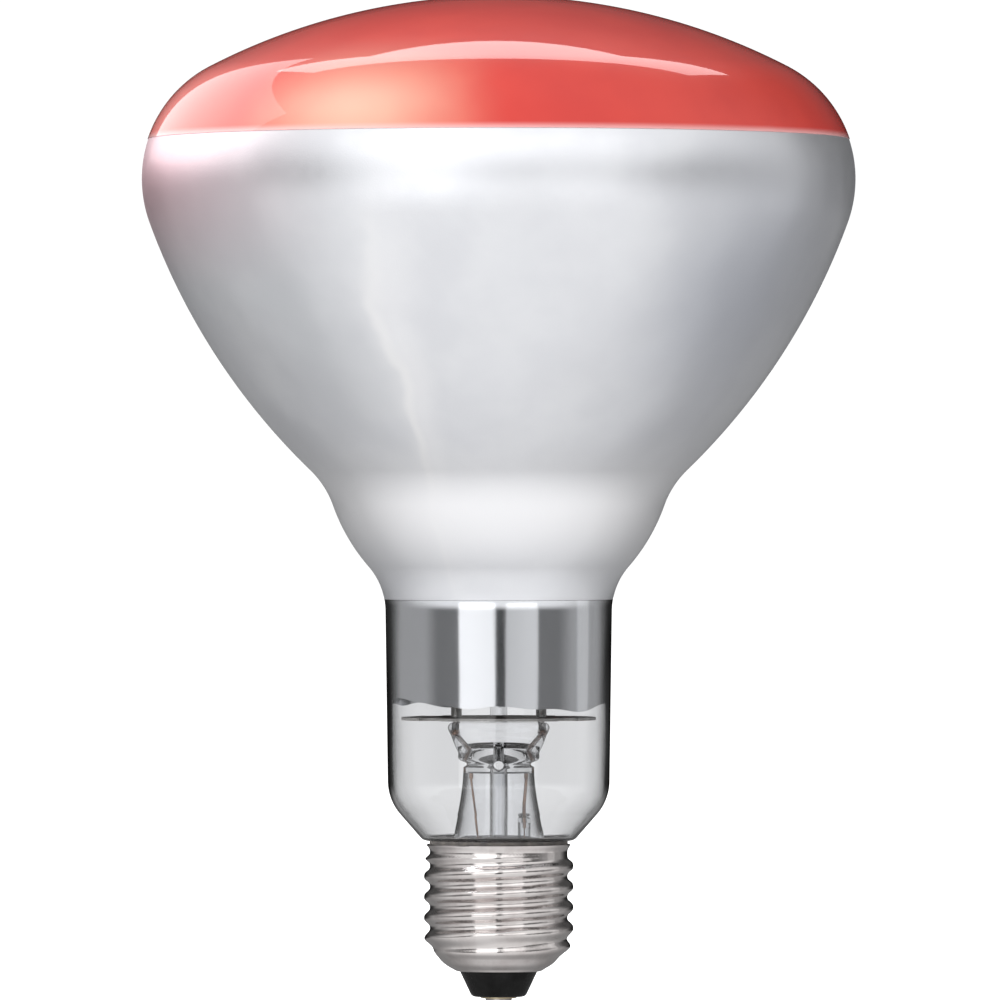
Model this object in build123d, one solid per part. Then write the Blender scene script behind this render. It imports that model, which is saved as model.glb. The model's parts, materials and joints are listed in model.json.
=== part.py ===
"""Infrared reflector heat lamp: a blown glass bulb with a red front and a mirrored body, on an Edison screw cap.

Millimetres. +Z runs from the cap to the bulb's front, and the origin is the tip of the cap's centre contact.
The wide face of the glass press lies in the XZ plane. Sections are drawn in a plane where x is the distance
from the axis and y is the height, and are turned about Z.
"""
import math
import os

from build123d import *

# ---- glass bulb -------------------------------------------------------------------------------------------
BULB_DIAMETER = 125.0
CROWN_HEIGHT = 176.5          # from the contact tip to the top of the front
DOME_RADIUS = 110.0           # curvature of the front
SHOULDER_RADIUS = 22.0        # from the front to the widest ring
UNDER_SHOULDER_RADIUS = 22.5  # from the widest ring to the reflector
UNDER_SHOULDER_TURN = 20.0    # degrees from vertical where the reflector starts
REFLECTOR_SLOPE = 46.0        # degrees from vertical where the reflector ends
KNEE_DIAMETER = 66.0          # where the reflector ends
KNEE_BEND_RADIUS = 16.0       # hollow bend between reflector and bulge
BULGE_SLOPE_TOP = 19.5        # degrees from vertical
BULGE_SLOPE_LOW = 41.0
NECK_BEND_RADIUS = 12.0       # hollow bend between bulge and neck
NECK_DIAMETER = 39.7
NECK_TAPER = 0.8              # degrees
NECK_SHOULDER_RADIUS = 9.0
CONE_SLOPE = 41.0             # degrees from vertical, below the neck
SEAT_OVERHANG = 1.15          # how far the cone's end stands out beyond the shell's rim
SEAT_GAP = 1.2                # from the shell's rim up to that end of the cone
SEAT_BEND_RADIUS = 1.6
SEAT_SLOPE = 85.0
TAIL_BEND_RADIUS = 0.8
TAIL_CLEARANCE = 0.5          # from the glass inside the cap to the shell
TAIL_DEPTH = 10.6             # how far the glass goes down inside the cap's rim
GLASS_WALL = 0.9
COATING = 0.12
RED_EDGE_DROP = 24.9          # from the crown down to the edge between red and mirror
MIRROR_DROP = 16.4            # from the top of the neck down to the mirror's lower edge

# ---- screw cap, E27 ---------------------------------------------------------------------------------------
THREAD_CREST_DIAMETER = 26.2
THREAD_DEPTH = 1.05
THREAD_PITCH = 3.629
THREAD_PHASE_HEIGHT = 9.8     # a crest crosses the +X side at this height
SHELL_SHEET = 0.35
SHELL_TOP = 28.1
THREAD_TOP_MARGIN = 0.3       # plain band under the rim
THREAD_FADE = 1.3             # height over which the thread grows from nothing
THREAD_LOW = 8.6
BOWL_RADIUS = 7.0             # curvature of the shell's lower end
BOWL_LIP_DIAMETER = 14.0      # where that curve stops
BOWL_LIP_HEIGHT = 5.85
LIP_FLAT = 0.2                # width of the shell's lower edge
RIM_FLARE = 0.5               # how far the rim stands out beyond the thread's root
RIM_HEIGHT = 1.2
BEAD_INSET = 0.1              # from the shell's inside to the cement bead above its rim
INSULATOR_LOW_DIAMETER = 9.4
INSULATOR_LOW_HEIGHT = 1.4
INSULATOR_EDGE_RADIUS = 1.0
INSULATOR_RISE = 2.75         # how far the black glass reaches up inside the bowl
PLATE_DIAMETER = 6.4
PLATE_THICKNESS = 0.6
PLATE_STAND = 0.25            # how far the plate stands below the black glass
EYELET_BORE = 1.3
SOLDER_DIAMETER = 4.6
SOLDER_FLAT_DIAMETER = 2.2

# ---- stem -------------------------------------------------------------------------------------------------
STEM_TUBE_DIAMETER = 12.4
STEM_WALL = 0.85
STEM_SEAL_LENGTH = 1.5        # height of the ring where flare and bulb are melted together
STEM_TUBE_TOP = 41.6          # top of the round tube and start of the press
STEM_CAVITY_TOP = 40.6        # inside
PRESS_HEIGHT = 7.8
PRESS_WIDTH = 17.8
PRESS_THICKNESS = 4.2
PRESS_EDGE_RADIUS = 0.9
PRESS_LEDGE = 0.03            # step where the press starts on the tube
VENT_DIAMETER = 1.8           # hole through which the exhaust tube opens into the bulb
VENT_HEIGHT = 41.9
EXHAUST_DIAMETER = 3.2
EXHAUST_WALL = 0.6
EXHAUST_TIP_HEIGHT = 10.6
EXHAUST_TIP_LENGTH = 3.2

# ---- leads and fuse ---------------------------------------------------------------------------------------
OUTER_LEAD_DIAMETER = 0.6
RIM_LEAD_DIAMETER = 0.4       # the finer lead that passes between glass and shell
SEAL_WIRE_DIAMETER = 0.8
KNOT_DIAMETER = 1.5
INNER_LEAD_DIAMETER = 1.2
SEAL_CLEARANCE = 0.05         # from the wires to the tube's inside, where they enter the press
LIVE_DRIFT = 0.4              # how far the fused lead comes in towards the axis below that
NEUTRAL_DRIFT = 1.3           # and the other lead
LEAD_SPREAD = 7.4             # where the leads leave the press
LEAD_DIP = 1.0                # how far the wires reach down out of the press
WIRE_CLEARANCE = 0.02
FUSE_SLEEVE_DIAMETER = 2.2
FUSE_SLEEVE_WALL = 0.35
FUSE_SLEEVE_LOW = 22.0
FUSE_SLEEVE_TOP = 33.0
FUSE_WIRE_DIAMETER = 0.26
FUSE_LEAD_REACH = 1.8         # how far each lead reaches into the sleeve
SIDE_SOLDER_ANGLE = 120.0     # degrees about Z from +X
SIDE_SOLDER_WIDTH = 3.4
SIDE_SOLDER_HEIGHT = 1.9
SIDE_SOLDER_STAND = 0.75

# ---- heat shield ------------------------------------------------------------------------------------------
SHIELD_GAP = 0.5              # from the press's top to the disc
SHIELD_THICKNESS = 0.5
SHIELD_CLEARANCE = 1.95       # from the disc's edge to the inside of the neck
SHIELD_NOTCH_DIAMETER = 5.0
SHIELD_NOTCHES = 4
FERRULE_LENGTH = 2.2
LEAD_BEND_RADIUS = 6
FERRULE_WALL = 0.3

# ---- filament ---------------------------------------------------------------------------------------------
FILAMENT_BELOW_KNEE = 0.4     # from the reflector's lower end down to the filament
FILAMENT_RING_RADIUS = 14.0
FILAMENT_END_ANGLE = 30.0     # degrees below the X axis, seen from above, at both ends
FILAMENT_SPANS = 5
COIL_DIAMETER = 1.6
COIL_PITCH = 0.55
COIL_WIRE_DIAMETER = 0.22
COIL_END_GAP = 0.9            # from a support's loop to the nearest turn
SUPPORT_WIRE_DIAMETER = 0.5
SUPPORT_LOOP_RADIUS = 1.35
ROD_DIAMETER = 3.0
ROD_CLEARANCE = 0.3
BUTTON_DIAMETER = 6.4
BUTTON_HEIGHT = 4.4
BUTTON_DROP = 6.5             # from the filament down to the middle of the button
SUPPORT_EMBED = 1.6           # how deep each support sits in the button
SUPPORT_REACH = 4.0           # level part of a support outside the button
CLAMP_WIDTH = 2.6
CLAMP_THICKNESS = 1.8
CLAMP_HEIGHT = 2.6
CLAMP_EDGE_RADIUS = 0.35

# ---- worked out from the sizes above ----------------------------------------------------------------------
BULB_RADIUS = BULB_DIAMETER / 2
KNEE_RADIUS = KNEE_DIAMETER / 2
NECK_RADIUS = NECK_DIAMETER / 2
THREAD_CREST = THREAD_CREST_DIAMETER / 2
THREAD_ROOT = THREAD_CREST - THREAD_DEPTH
SEAT_RADIUS = THREAD_ROOT + RIM_FLARE + SEAT_OVERHANG
TAIL_RADIUS = THREAD_ROOT - SHELL_SHEET - TAIL_CLEARANCE
SEAT_HEIGHT = SHELL_TOP + SEAT_GAP
TAIL_END = SHELL_TOP - TAIL_DEPTH
THREAD_TOP = SHELL_TOP - RIM_HEIGHT - THREAD_TOP_MARGIN
OPENING_DIAMETER = BOWL_LIP_DIAMETER - 2 * LIP_FLAT
PRESS_TOP = STEM_TUBE_TOP + PRESS_HEIGHT
SEAL_SPREAD = STEM_TUBE_DIAMETER / 2 - STEM_WALL - SEAL_WIRE_DIAMETER / 2 - SEAL_CLEARANCE
LIVE_SPREAD = SEAL_SPREAD - LIVE_DRIFT
NEUTRAL_SPREAD = SEAL_SPREAD - NEUTRAL_DRIFT
SHIELD_DIAMETER = 2 * (NECK_RADIUS - GLASS_WALL - SHIELD_CLEARANCE)
SHIELD_LOW = PRESS_TOP + SHIELD_GAP
SHIELD_TOP = SHIELD_LOW + SHIELD_THICKNESS
FAR = 400.0                   # larger than the lamp, for cutting blocks
THREAD_POINTS = 16            # points round each section of the thread
THREAD_STEPS = 8              # sections in each pitch
BOWL_STEPS = 8
PRESS_STEPS = 6
PRESS_POINTS = 24


def cosine(degrees):
    return math.cos(math.radians(degrees))


def sine(degrees):
    return math.sin(math.radians(degrees))


class Pen:
    """Draws a section as tangent arcs and lines. The slope is in degrees from straight down, positive inward."""

    def __init__(self, start, slope):
        self.point, self.slope, self.edges = Vector(*start), slope, []

    def heading(self):
        return Vector(-sine(self.slope), -cosine(self.slope))

    def line(self, length):
        end = self.point + self.heading() * length
        self.edges.append(Edge.make_line(self.point, end))
        self.point = end

    def bend(self, radius, slope):
        """An arc that turns to the new slope: convex where the slope grows, hollow where it falls."""
        turn = self.slope - slope
        arc = JernArc(self.point, self.heading(), radius, turn).edge()
        self.edges.append(arc)
        self.point, self.slope = Vector(arc @ 1), slope


def bulb_chain():
    """Radii and lengths of the bulb's section that follow from its named sizes."""
    dome_slope = -math.degrees(math.acos((BULB_RADIUS - SHOULDER_RADIUS) / (DOME_RADIUS - SHOULDER_RADIUS)))
    start, end = cosine(UNDER_SHOULDER_TURN), cosine(REFLECTOR_SLOPE)
    reflector = (BULB_RADIUS - UNDER_SHOULDER_RADIUS * (1 - start) - KNEE_RADIUS) / (start - end)
    top, low, taper = cosine(BULGE_SLOPE_TOP), cosine(BULGE_SLOPE_LOW), cosine(NECK_TAPER)
    bends = KNEE_BEND_RADIUS * (top - end) + NECK_BEND_RADIUS * (taper - low)
    bulge = (KNEE_RADIUS - NECK_RADIUS - bends) / (top - low)
    widest = CROWN_HEIGHT - DOME_RADIUS - (DOME_RADIUS - SHOULDER_RADIUS) * sine(dome_slope)
    knee = widest - UNDER_SHOULDER_RADIUS * sine(UNDER_SHOULDER_TURN) - reflector * (
        sine(REFLECTOR_SLOPE) - sine(UNDER_SHOULDER_TURN))
    neck_top = knee - KNEE_BEND_RADIUS * (sine(REFLECTOR_SLOPE) - sine(BULGE_SLOPE_TOP)) - bulge * (
        sine(BULGE_SLOPE_LOW) - sine(BULGE_SLOPE_TOP)) - NECK_BEND_RADIUS * (
        sine(BULGE_SLOPE_LOW) - sine(NECK_TAPER))
    # The neck's line and the cone's line together reach the seat.
    inward = NECK_RADIUS - SEAT_RADIUS - NECK_SHOULDER_RADIUS * (taper - cosine(CONE_SLOPE))
    down = neck_top - SEAT_HEIGHT - NECK_SHOULDER_RADIUS * (sine(CONE_SLOPE) - sine(NECK_TAPER))
    cross = sine(CONE_SLOPE - NECK_TAPER)
    cone = (inward * taper - down * sine(NECK_TAPER)) / cross
    neck = (down * sine(CONE_SLOPE) - inward * cosine(CONE_SLOPE)) / cross
    under = (SEAT_RADIUS - TAIL_RADIUS - SEAT_BEND_RADIUS * (cosine(CONE_SLOPE) - cosine(SEAT_SLOPE))
             - TAIL_BEND_RADIUS * (1 - cosine(SEAT_SLOPE))) / sine(SEAT_SLOPE)
    return dict(dome_slope=dome_slope, reflector=reflector, bulge=bulge, knee=knee, neck_top=neck_top,
                cone=cone, neck=neck, under=under)


CHAIN = bulb_chain()
RED_EDGE = CROWN_HEIGHT - RED_EDGE_DROP
MIRROR_EDGE = CHAIN["neck_top"] - MIRROR_DROP
FILAMENT_HEIGHT = CHAIN["knee"] - FILAMENT_BELOW_KNEE


def bulb_body(inset):
    """The bulb as a filled solid, with its surface moved inward by inset."""
    pen = Pen((0, CROWN_HEIGHT - inset), -90)
    pen.bend(DOME_RADIUS - inset, CHAIN["dome_slope"])
    pen.bend(SHOULDER_RADIUS - inset, 0)
    pen.bend(UNDER_SHOULDER_RADIUS - inset, UNDER_SHOULDER_TURN)
    pen.bend(CHAIN["reflector"] - inset, REFLECTOR_SLOPE)
    pen.bend(KNEE_BEND_RADIUS + inset, BULGE_SLOPE_TOP)
    pen.bend(CHAIN["bulge"] - inset, BULGE_SLOPE_LOW)
    pen.bend(NECK_BEND_RADIUS + inset, NECK_TAPER)
    pen.line(CHAIN["neck"])
    pen.bend(NECK_SHOULDER_RADIUS - inset, CONE_SLOPE)
    pen.line(CHAIN["cone"])
    pen.bend(SEAT_BEND_RADIUS - inset, SEAT_SLOPE)
    pen.line(CHAIN["under"])
    pen.bend(TAIL_BEND_RADIUS + inset, 0)
    pen.line(pen.point.Y - TAIL_END)
    return turned(pen.edges)


def turned(edges):
    """A solid of revolution about Z from an open run of edges, closed along the axis."""
    start, end = Vector(edges[0] @ 0), Vector(edges[-1] @ 1)
    top, foot = Vector(0, start.Y), Vector(0, end.Y)
    closing = [Edge.make_line(a, b) for a, b in ((end, foot), (foot, top), (top, start)) if (b - a).length > 1e-6]
    face = make_face(edges + closing)
    return revolve(Plane.XZ * face, Axis.Z)


def slab(low, high):
    """A block wider than the lamp, between two heights."""
    return Pos(0, 0, low) * Cylinder(FAR, high - low, align=(Align.CENTER, Align.CENTER, Align.MIN))


def rod(start, end, diameter):
    """A round bar between two points."""
    start, end = Vector(*start), Vector(*end)
    axis = end - start
    return Plane(start, z_dir=axis) * Cylinder(
        diameter / 2, axis.length, align=(Align.CENTER, Align.CENTER, Align.MIN))


def wire(points, diameter, bends):
    """A round wire along straight runs joined by arcs of the given radii."""
    path = FilletPolyline(*points, radius=bends) if bends else Polyline(*points)
    start = Vector(*points[0])
    section = Plane(start, z_dir=Vector(*points[1]) - start) * Circle(diameter / 2)
    return sweep(section, path=path)


def ring(outer, inner, low, high):
    """A plain ring or, with no inner diameter, a disc."""
    aligned = (Align.CENTER, Align.CENTER, Align.MIN)
    body = Pos(0, 0, low) * Cylinder(outer / 2, high - low, align=aligned)
    return body - Pos(0, 0, low) * Cylinder(inner / 2, high - low, align=aligned) if inner else body


# ---- glass and coatings -----------------------------------------------------------------------------------
def bulb_envelope():
    return bulb_body(0) - bulb_body(GLASS_WALL)


def mirror_coating():
    film = bulb_body(GLASS_WALL) - bulb_body(GLASS_WALL + COATING)
    return film & slab(MIRROR_EDGE, RED_EDGE)


def red_coating():
    film = bulb_body(-COATING) - bulb_body(0)
    return film & slab(RED_EDGE, FAR)


# ---- screw cap --------------------------------------------------------------------------------------------
def thread_radius(height):
    """Rounded Edison thread: a crest arc and a root arc of the same radius, tangent halfway. Height is from a crest."""
    half, depth = THREAD_PITCH / 2, THREAD_CREST - THREAD_ROOT
    arc = (half ** 2 + depth ** 2) / (4 * depth)
    offset = abs((height / THREAD_PITCH + 0.5) % 1 - 0.5) * THREAD_PITCH
    if offset <= half / 2:
        return THREAD_CREST - arc + math.sqrt(arc ** 2 - offset ** 2)
    return THREAD_ROOT + arc - math.sqrt(arc ** 2 - (half - offset) ** 2)


def eased(share):
    share = min(max(share, 0), 1)
    return share * share * (3 - 2 * share)


def closed_curve(points):
    """A smooth closed curve. Evenly numbered parameters keep a loft through many of them light."""
    return Wire([Edge.make_spline(points, periodic=True, parameters=range(len(points) + 1))])


def cap_levels():
    """Slope, distance from the axis and height of the shell's plain outline, from the lower lip to the rim."""
    centre = THREAD_ROOT - BOWL_RADIUS
    steepest = math.degrees(math.acos((BOWL_LIP_DIAMETER / 2 - centre) / BOWL_RADIUS))
    bowl_top = BOWL_LIP_HEIGHT + BOWL_RADIUS * sine(steepest)
    curved = [steepest * (1 - step / BOWL_STEPS) for step in range(BOWL_STEPS)]
    levels = [(slope, centre + BOWL_RADIUS * cosine(slope), bowl_top - BOWL_RADIUS * sine(slope)) for slope in curved]
    steps = math.ceil((SHELL_TOP - bowl_top) / THREAD_PITCH * THREAD_STEPS)
    for step in range(steps + 1):
        height = bowl_top + (SHELL_TOP - bowl_top) * step / steps
        flare = RIM_FLARE * eased(1 - (SHELL_TOP - height) / RIM_HEIGHT)
        levels.append((0, THREAD_ROOT + flare, height))
    return levels


def cap_core(inset):
    """The whole shell as a filled solid, with its surface moved inward by inset."""
    sections = []
    for slope, radius, height in cap_levels():
        grown = eased((height - THREAD_LOW) / THREAD_FADE) * eased((THREAD_TOP - height) / THREAD_FADE)
        plain = radius - inset * cosine(slope)
        level = height + inset * sine(slope)
        points = []
        for step in range(THREAD_POINTS):
            rise = height - THREAD_PHASE_HEIGHT - THREAD_PITCH * step / THREAD_POINTS
            reach = plain + (thread_radius(rise) - THREAD_ROOT) * grown
            angle = 360 * step / THREAD_POINTS
            points.append(Vector(reach * cosine(angle), reach * sine(angle), level))
        sections.append(closed_curve(points))
    return Part() + Solid.make_loft(sections)


def screw_shell(outside, inside):
    return outside - inside - ring(OPENING_DIAMETER, 0, 0, THREAD_LOW)


def cap_insulator(inside):
    flange_top = BOWL_LIP_HEIGHT + INSULATOR_RISE
    plug = Pos(0, 0, INSULATOR_LOW_HEIGHT) * Cone(
        INSULATOR_LOW_DIAMETER / 2, OPENING_DIAMETER / 2, BOWL_LIP_HEIGHT - INSULATOR_LOW_HEIGHT,
        align=(Align.CENTER, Align.CENTER, Align.MIN))
    foot = [e for e in plug.edges() if abs(e.center().Z - INSULATOR_LOW_HEIGHT) < 1e-6]
    plug = fillet(foot, INSULATOR_EDGE_RADIUS)
    body = plug + ring(OPENING_DIAMETER, 0, BOWL_LIP_HEIGHT, flange_top)
    body += inside & slab(BOWL_LIP_HEIGHT, flange_top)
    recess = ring(PLATE_DIAMETER, 0, INSULATOR_LOW_HEIGHT - 1, contact_plate_top())
    return body - recess - ring(EYELET_BORE, 0, 0, FAR)


def contact_plate_top():
    return INSULATOR_LOW_HEIGHT - PLATE_STAND + PLATE_THICKNESS


def centre_contact():
    low = INSULATOR_LOW_HEIGHT - PLATE_STAND
    plate = ring(PLATE_DIAMETER, EYELET_BORE, low, contact_plate_top())
    rim = [e for e in plate.edges() if abs(e.center().Z - low) < 1e-6 and e.length > math.pi * EYELET_BORE * 1.5]
    return fillet(rim, PLATE_THICKNESS / 3)


def contact_solder(lead):
    seat = INSULATOR_LOW_HEIGHT - PLATE_STAND
    flat = Vector(SOLDER_FLAT_DIAMETER / 2, 0)
    edge = Vector(SOLDER_DIAMETER / 2, seat)
    side = Edge.make_spline([edge, flat], tangents=[Vector(0.15, -1), Vector(-1, -0.12)])
    dome = turned([side])
    plug = ring(EYELET_BORE, 0, seat, contact_plate_top())
    return dome + plug - lead


def capping_cement(inside, glass, lead):
    """Fills the space between the bulb's tail and the shell, and shows as a bead above the rim."""
    filling = inside & slab(TAIL_END, SHELL_TOP)
    bead = ring(2 * (THREAD_ROOT + RIM_FLARE - SHELL_SHEET - BEAD_INSET), 0, SHELL_TOP - BEAD_INSET, SEAT_HEIGHT)
    hollow = ring(2 * (TAIL_RADIUS - GLASS_WALL), 0, TAIL_END - 1, SEAT_HEIGHT)
    return filling + bead - [glass, hollow, lead]


def side_solder(outside, glass, cement, lead):
    """Solder on the outside of the rim, over the end of the finer lead."""
    centre = THREAD_ROOT + RIM_FLARE * 0.8
    blob = Sphere(1)
    blob = scale(blob, (SIDE_SOLDER_STAND, SIDE_SOLDER_WIDTH / 2, SIDE_SOLDER_HEIGHT / 2))
    blob = Rot(0, 0, SIDE_SOLDER_ANGLE) * Pos(centre, 0, SHELL_TOP - RIM_HEIGHT) * blob
    return blob - [outside, glass, cement, lead]


# ---- stem -------------------------------------------------------------------------------------------------
def flare_body(inset, top):
    """The trumpet-shaped tube as a filled solid, from the ring sealed to the bulb up to the press."""
    rim = TAIL_RADIUS - GLASS_WALL - inset
    tube = STEM_TUBE_DIAMETER / 2 - inset
    seal_top = TAIL_END + STEM_SEAL_LENGTH
    rise = STEM_TUBE_TOP - seal_top
    start, end = Vector(rim, seal_top), Vector(tube, STEM_TUBE_TOP)
    trumpet = Bezier(end, end - Vector(0, rise * 0.3), start + Vector(0.3 * (tube - rim), rise * 0.3), start).edge()
    return turned([trumpet, Edge.make_line(start, Vector(rim, TAIL_END))]) & slab(TAIL_END, top)


def press_section(half_width, half_depth, squareness, height):
    """A closed outline between an ellipse and a rounded rectangle."""
    points = []
    for step in range(PRESS_POINTS):
        angle = 360 * step / PRESS_POINTS
        across, deep = cosine(angle), sine(angle)
        points.append(Vector(
            half_width * math.copysign(abs(across) ** (2 / squareness), across),
            half_depth * math.copysign(abs(deep) ** (2 / squareness), deep),
            height))
    return closed_curve(points)


def stem_press():
    """The flattened top of the tube: round below, wide and thin above, with a rounded top edge."""
    tube, wide, thin = STEM_TUBE_DIAMETER / 2 - PRESS_LEDGE, PRESS_WIDTH / 2, PRESS_THICKNESS / 2
    straight = PRESS_HEIGHT - PRESS_EDGE_RADIUS
    sections = []
    for step in range(PRESS_STEPS + 1):
        share = step / PRESS_STEPS
        flat = eased(share * 1.5)
        sections.append(press_section(
            tube + (wide - tube) * share, tube + (thin - tube) * flat, 2 + flat, STEM_TUBE_TOP + straight * share))
    for turn in (30, 60, 80):
        drawn_in = PRESS_EDGE_RADIUS * (1 - cosine(turn))
        height = STEM_TUBE_TOP + straight + PRESS_EDGE_RADIUS * sine(turn) / sine(80)
        sections.append(press_section(wide - drawn_in, thin - drawn_in, 3, height))
    return Part() + Solid.make_loft(sections)


def stem_flare(wires):
    body = flare_body(0, STEM_TUBE_TOP) + stem_press() - flare_body(STEM_WALL, STEM_CAVITY_TOP)
    bore = EXHAUST_DIAMETER - 2 * EXHAUST_WALL
    riser = rod((0, 0, STEM_CAVITY_TOP - EXHAUST_WALL), (0, 0, VENT_HEIGHT), bore)
    vent = rod((0, -FAR, VENT_HEIGHT), (0, FAR, VENT_HEIGHT), VENT_DIAMETER)
    return body - [riser, vent, *wires]


def exhaust_tube():
    """Thin tube that the lamp was pumped through, melted shut at its lower end."""
    outer, bore = EXHAUST_DIAMETER / 2, EXHAUST_DIAMETER / 2 - EXHAUST_WALL
    tip_top = EXHAUST_TIP_HEIGHT + EXHAUST_TIP_LENGTH
    tip = Edge.make_spline(
        [Vector(outer, tip_top), Vector(0, EXHAUST_TIP_HEIGHT)], tangents=[Vector(0, -1), Vector(-1, -0.6)])
    body = turned([Edge.make_line(Vector(outer, STEM_CAVITY_TOP), Vector(outer, tip_top)), tip])
    pointed = Pos(0, 0, tip_top - bore) * Cone(0.05, bore, bore, align=(Align.CENTER, Align.CENTER, Align.MIN))
    return body - ring(2 * bore, 0, tip_top, STEM_CAVITY_TOP + 1) - pointed


# ---- leads ------------------------------------------------------------------------------------------------
def seal_wire(side):
    """Wire melted into the press, with the weld knot that joins it to the lead above."""
    knot = knot_centre(side)
    route = [(side * SEAL_SPREAD, 0, STEM_CAVITY_TOP - LEAD_DIP),
             (side * SEAL_SPREAD, 0, (STEM_CAVITY_TOP + knot[2]) / 2), knot]
    return wire(route, SEAL_WIRE_DIAMETER, [2]) + Pos(*knot) * Sphere(KNOT_DIAMETER / 2)


def knot_centre(side):
    return (side * LEAD_SPREAD, 0, PRESS_TOP - PRESS_EDGE_RADIUS - KNOT_DIAMETER / 2)


def lead_tip(side):
    """Top end of an inner lead, beside the filament's end."""
    return (side * FILAMENT_RING_RADIUS * cosine(FILAMENT_END_ANGLE),
            -FILAMENT_RING_RADIUS * sine(FILAMENT_END_ANGLE),
            FILAMENT_HEIGHT + CLAMP_HEIGHT / 2 - CLAMP_EDGE_RADIUS)


def inner_lead(side, seal):
    """Stiff nickel wire from the press up to the filament, straight until it is clear of the disc's ferrule."""
    tip = lead_tip(side)
    route = [knot_centre(side), (side * LEAD_SPREAD, 0, SHIELD_TOP + 2 * FERRULE_LENGTH),
             (tip[0], tip[1], FILAMENT_HEIGHT - 3 * CLAMP_HEIGHT), tip]
    return wire(route, INNER_LEAD_DIAMETER, [FERRULE_LENGTH, LEAD_BEND_RADIUS]) - seal


def rim_route():
    """The finer lead's way under the tail, up between glass and shell and over the rim."""
    between = (TAIL_RADIUS + THREAD_ROOT - SHELL_SHEET) / 2
    outside = THREAD_ROOT + RIM_FLARE + RIM_LEAD_DIAMETER
    across, deep = cosine(SIDE_SOLDER_ANGLE), sine(SIDE_SOLDER_ANGLE)
    below, over = TAIL_END - 4 * RIM_LEAD_DIAMETER, SHELL_TOP + RIM_LEAD_DIAMETER / 2 + WIRE_CLEARANCE
    return [(-SEAL_SPREAD, 0, STEM_CAVITY_TOP - LEAD_DIP), (-NEUTRAL_SPREAD, 0, SEAT_HEIGHT),
            (between * across / 2, between * deep / 2, below), (between * across, between * deep, below),
            (between * across, between * deep, over), (outside * across, outside * deep, over)]


def outer_lead_neutral(diameter=RIM_LEAD_DIAMETER):
    return wire(rim_route(), diameter, [6, 2, 0.8, 0.6])


def outer_lead_live_upper():
    """From the seal wire down into the fuse sleeve."""
    return wire([(SEAL_SPREAD, 0, STEM_CAVITY_TOP - LEAD_DIP), (LIVE_SPREAD, 0, FUSE_SLEEVE_TOP + 2),
                 (LIVE_SPREAD, 0, FUSE_SLEEVE_TOP - FUSE_LEAD_REACH)], OUTER_LEAD_DIAMETER, [6])


def outer_lead_live_lower():
    """From the fuse sleeve round the exhaust tip and down through the insulator."""
    turn = EXHAUST_TIP_HEIGHT - 4 * OUTER_LEAD_DIAMETER
    return wire([(LIVE_SPREAD, 0, FUSE_SLEEVE_LOW + FUSE_LEAD_REACH), (LIVE_SPREAD, 0, EXHAUST_TIP_HEIGHT + 2),
                 (0, 0, turn), (0, 0, SOLDER_FLAT_DIAMETER / 4)], OUTER_LEAD_DIAMETER, [1.5, 1])


def fuse_wire():
    return rod((LIVE_SPREAD, 0, FUSE_SLEEVE_LOW + FUSE_LEAD_REACH),
               (LIVE_SPREAD, 0, FUSE_SLEEVE_TOP - FUSE_LEAD_REACH), FUSE_WIRE_DIAMETER)


def fuse_sleeve():
    """Glass sleeve round the fuse, closed round a lead at each end."""
    outer, bore = FUSE_SLEEVE_DIAMETER, FUSE_SLEEVE_DIAMETER - 2 * FUSE_SLEEVE_WALL
    end = FUSE_LEAD_REACH / 2
    body = Pos(LIVE_SPREAD, 0, 0) * ring(outer, 0, FUSE_SLEEVE_LOW, FUSE_SLEEVE_TOP)
    body = fillet(body.edges().filter_by(GeomType.CIRCLE), FUSE_SLEEVE_WALL)
    hollow = ring(bore, 0, FUSE_SLEEVE_LOW + end, FUSE_SLEEVE_TOP - end)
    passage = ring(OUTER_LEAD_DIAMETER + 2 * WIRE_CLEARANCE, 0, FUSE_SLEEVE_LOW - 1, FUSE_SLEEVE_TOP + 1)
    return body - Pos(LIVE_SPREAD, 0, 0) * (hollow + passage)


# ---- heat shield ------------------------------------------------------------------------------------------
def heat_shield_disc():
    disc = ring(SHIELD_DIAMETER, ROD_DIAMETER + 2 * ROD_CLEARANCE, SHIELD_LOW, SHIELD_TOP)
    for side in (-1, 1):
        disc -= Pos(side * LEAD_SPREAD, 0, 0) * ring(
            INNER_LEAD_DIAMETER + 2 * WIRE_CLEARANCE, 0, SHIELD_LOW - 1, SHIELD_TOP + 1)
    for step in range(SHIELD_NOTCHES):
        angle = 360 * (step + 0.5) / SHIELD_NOTCHES
        disc -= Rot(0, 0, angle) * Pos(SHIELD_DIAMETER / 2, 0, 0) * ring(
            SHIELD_NOTCH_DIAMETER, 0, SHIELD_LOW - 1, SHIELD_TOP + 1)
    return disc


def shield_ferrule(side):
    """Crimped sleeve on a lead that holds the disc down."""
    bore = INNER_LEAD_DIAMETER + 2 * WIRE_CLEARANCE
    sleeve = ring(bore + 2 * FERRULE_WALL, bore, SHIELD_TOP, SHIELD_TOP + FERRULE_LENGTH)
    waist = Pos(0, 0, SHIELD_TOP + FERRULE_LENGTH / 2) * Torus(
        INNER_LEAD_DIAMETER / 2 + 1.5 * FERRULE_WALL, FERRULE_WALL * 0.4)
    return Pos(side * LEAD_SPREAD, 0, 0) * (sleeve - waist)


# ---- filament mount ---------------------------------------------------------------------------------------
def ring_angles():
    """Directions of the filament's ends and supports, from the neutral end round the back to the live end."""
    first, last = 180 + FILAMENT_END_ANGLE, -FILAMENT_END_ANGLE
    return [first + (last - first) * step / FILAMENT_SPANS for step in range(FILAMENT_SPANS + 1)]


def ring_point(angle):
    return Vector(FILAMENT_RING_RADIUS * cosine(angle), FILAMENT_RING_RADIUS * sine(angle), FILAMENT_HEIGHT)


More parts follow.
